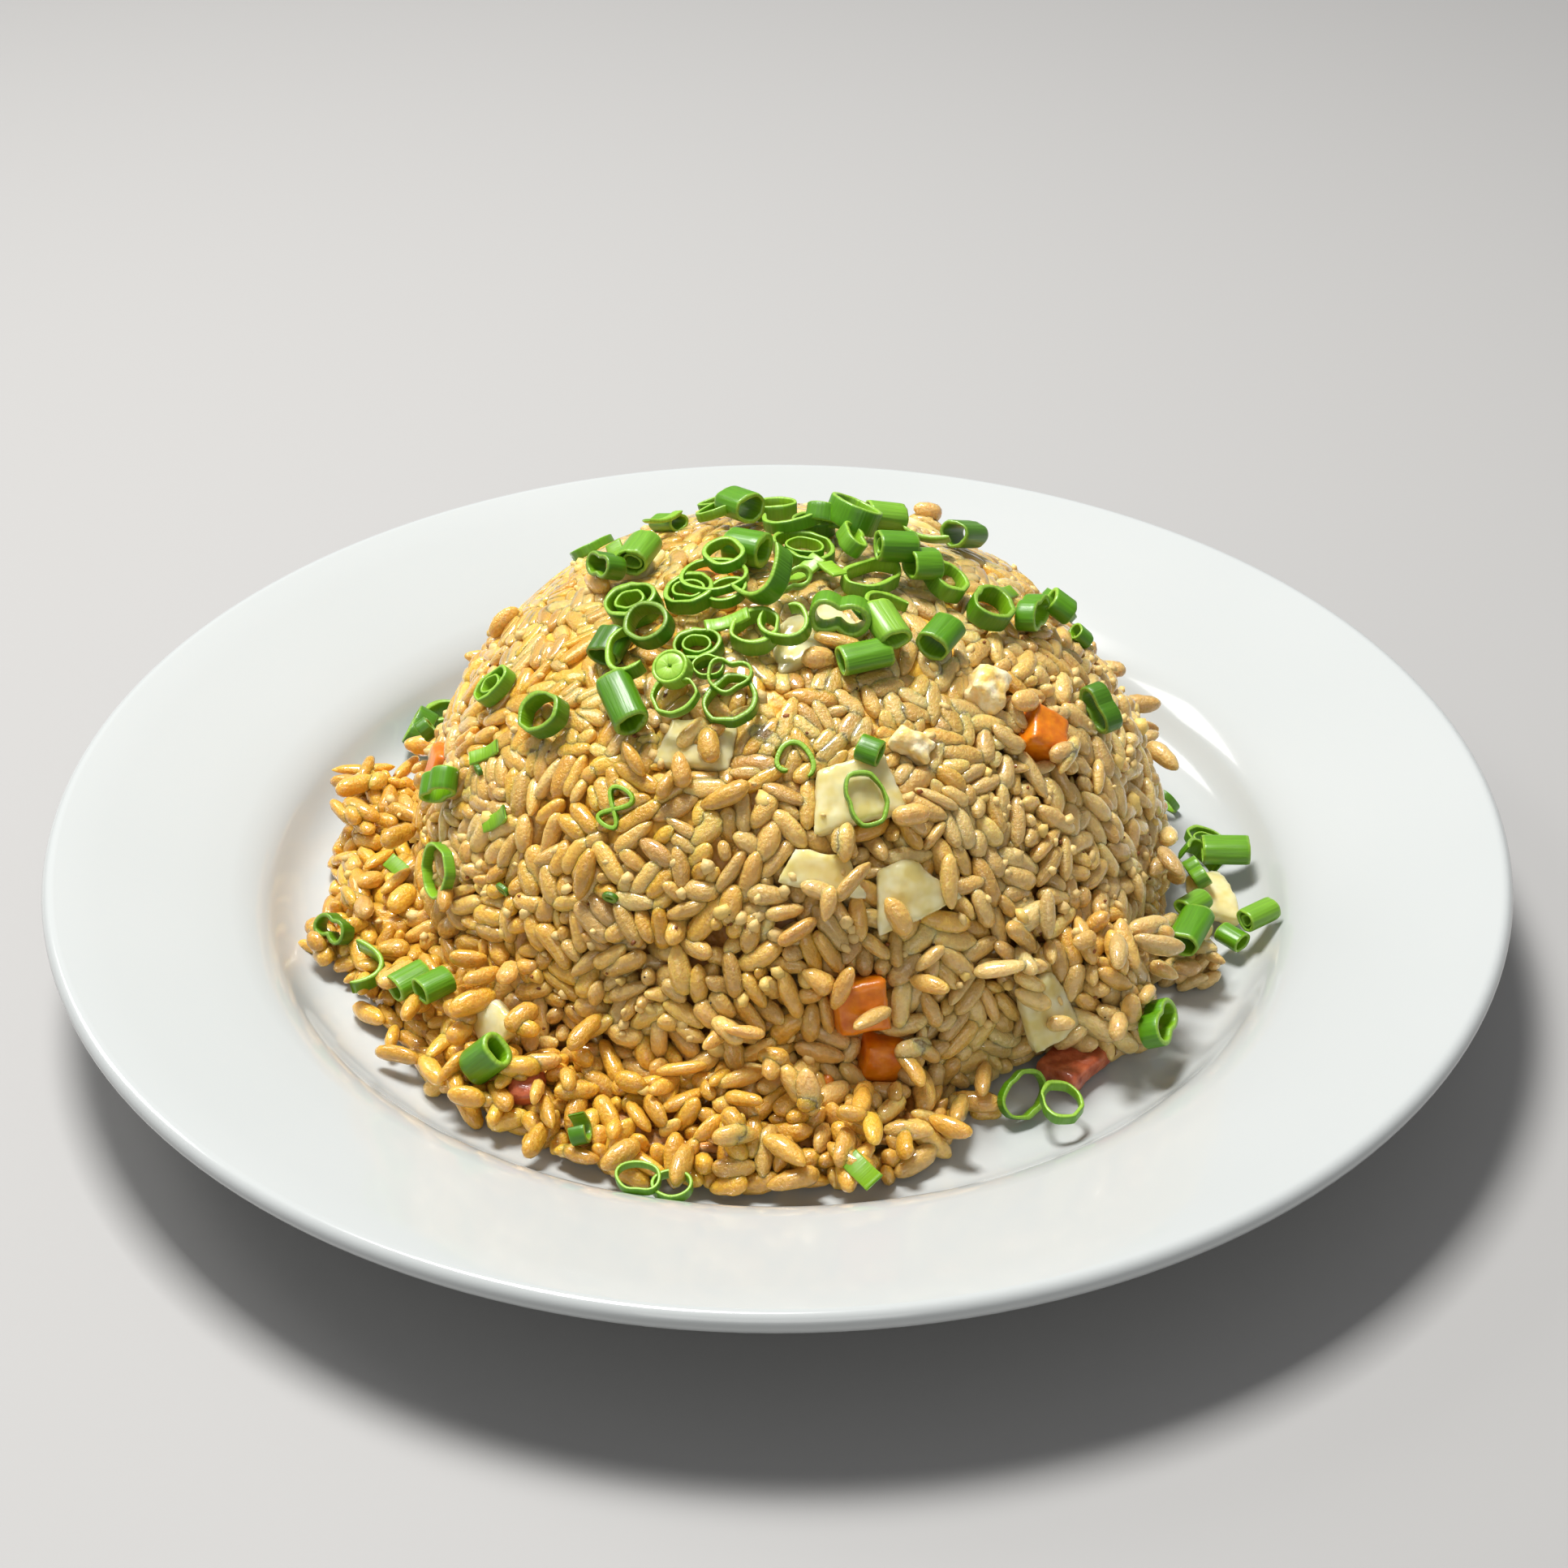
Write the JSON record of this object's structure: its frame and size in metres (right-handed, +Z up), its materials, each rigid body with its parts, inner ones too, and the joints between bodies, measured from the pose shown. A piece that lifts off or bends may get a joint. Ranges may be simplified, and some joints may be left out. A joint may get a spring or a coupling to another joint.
{
  "type": "fried rice plate",
  "caption": "Wide-rimmed white plate holding a moulded dome of fried rice with diced onion, carrot, egg and ham, topped with sliced green onion.",
  "frame": {"origin": "on the plate's axis, at the level of the surface it stands on", "axes": "+Z up; -Y towards the diner, the side with the bank of fallen rice; +X to the diner's right"},
  "size_m": [0.27, 0.27, 0.0832],
  "materials": {
    "porcelain": "smooth white glaze, glossy",
    "rice": "oily fried grains, pale beige to golden",
    "onion": "cooked, wet and slightly see-through",
    "carrot": "cooked, moist",
    "egg": "scrambled, matt with moist edges",
    "ham": "browned dice",
    "scallion": "fresh slices, glossy skin and pale cut faces"
  },
  "bodies": {
    "root": {"carrot_01": "carrot", "carrot_02": "carrot", "carrot_03": "carrot", "carrot_04": "carrot", "carrot_05": "carrot", "carrot_06": "carrot", "carrot_07": "carrot", "carrot_08": "carrot", "egg_01": "egg", "egg_02": "egg", "ham_01": "ham", "ham_02": "ham", "onion_01": "onion", "onion_02": "onion", "onion_03": "onion", "onion_04": "onion", "onion_05": "onion", "onion_06": "onion", "onion_07": "onion", "onion_08": "onion", "onion_09": "onion", "onion_10": "onion", "onion_fallen": "onion", "plate": "porcelain", "rice_mound": "rice", "scallion_ring_01": "scallion", "scallion_ring_02": "scallion", "scallion_ring_03": "scallion", "scallion_ring_04": "scallion", "scallion_ring_05": "scallion", "scallion_ring_06": "scallion", "scallion_ring_07": "scallion", "scallion_ring_08": "scallion", "scallion_ring_09": "scallion", "scallion_ring_10": "scallion", "scallion_ring_11": "scallion", "scallion_ring_12": "scallion", "scallion_ring_13": "scallion", "scallion_ring_14": "scallion", "scallion_ring_15": "scallion", "scallion_ring_16": "scallion", "scallion_ring_17": "scallion", "scallion_ring_18": "scallion", "scallion_ring_19": "scallion", "scallion_ring_20": "scallion", "scallion_tube_01": "scallion", "scallion_tube_02": "scallion", "scallion_tube_03": "scallion", "scallion_tube_04": "scallion", "scallion_tube_05": "scallion", "scallion_tube_06": "scallion", "scallion_tube_07": "scallion", "scallion_tube_08": "scallion", "scallion_tube_09": "scallion", "scallion_tube_10": "scallion", "scallion_tube_11": "scallion", "scallion_tube_12": "scallion", "scallion_tube_13": "scallion"}
  },
  "joints": []
}
